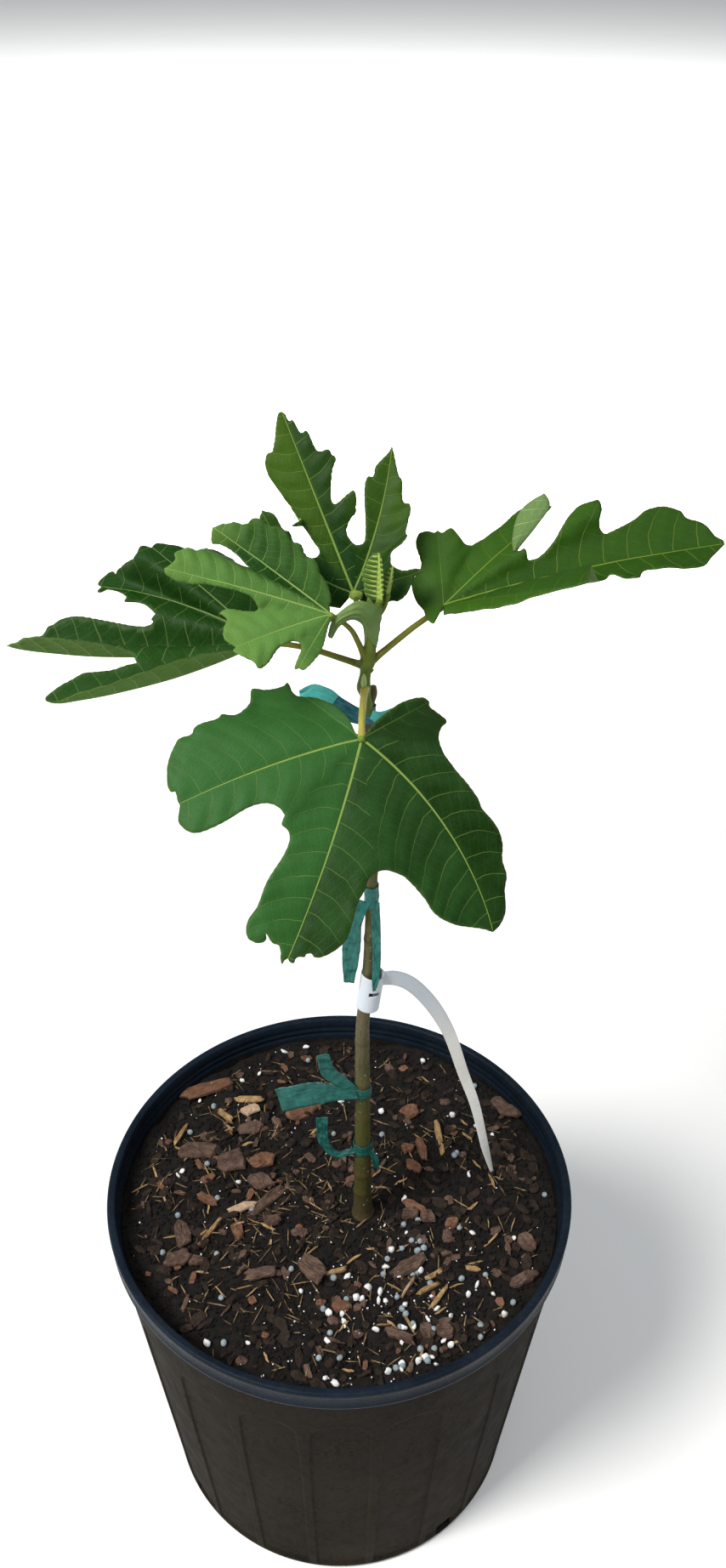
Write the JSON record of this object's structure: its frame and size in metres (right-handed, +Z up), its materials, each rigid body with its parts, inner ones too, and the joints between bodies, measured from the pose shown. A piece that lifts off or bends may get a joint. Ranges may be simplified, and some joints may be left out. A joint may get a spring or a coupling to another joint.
{
  "type": "potted fig tree",
  "caption": "Young fig tree in a round panelled nursery pot: slim upright trunk, green shoot with lobed leaves on long stalks, plant label and tape ties.",
  "frame": {"origin": "centre of the pot's flat underside", "axes": "+Z up along the pot's axis, -Y to the front, +X to the right seen from the front"},
  "size_m": [0.3241, 0.2794, 0.6984],
  "materials": {
    "pot_plastic": "dull brown-black moulded plastic, smoother on the rim",
    "potting_mix": "dark damp bark mix with chips, splinters and white grains",
    "bark": "olive-brown bark with pale pores",
    "green_stem": "soft green new stem",
    "leaf": "dark green leaf, half matt, with pale veins",
    "leaf_bright": "mid to bright green leaf, half matt, with pale veins",
    "young_leaf": "pale yellow-green pleated young leaf",
    "label_plastic": "blank white plastic strip, greyed below",
    "tie_tape": "stretchy blue-green tape"
  },
  "bodies": {
    "root": {"pot": "pot_plastic", "potting_mix": "potting_mix", "trunk": "bark", "green_shoot": "green_stem", "leaf_front": "leaf", "leaf_left": "leaf", "leaf_near_left": "leaf_bright", "leaf_top": "leaf_bright", "leaf_right": "leaf", "young_leaf_tall": "young_leaf", "young_leaf_short": "young_leaf", "plant_label": "label_plastic", "tie_upper": "tie_tape", "tie_middle": "tie_tape", "tie_lower": "tie_tape", "tie_foot": "tie_tape"}
  },
  "joints": []
}
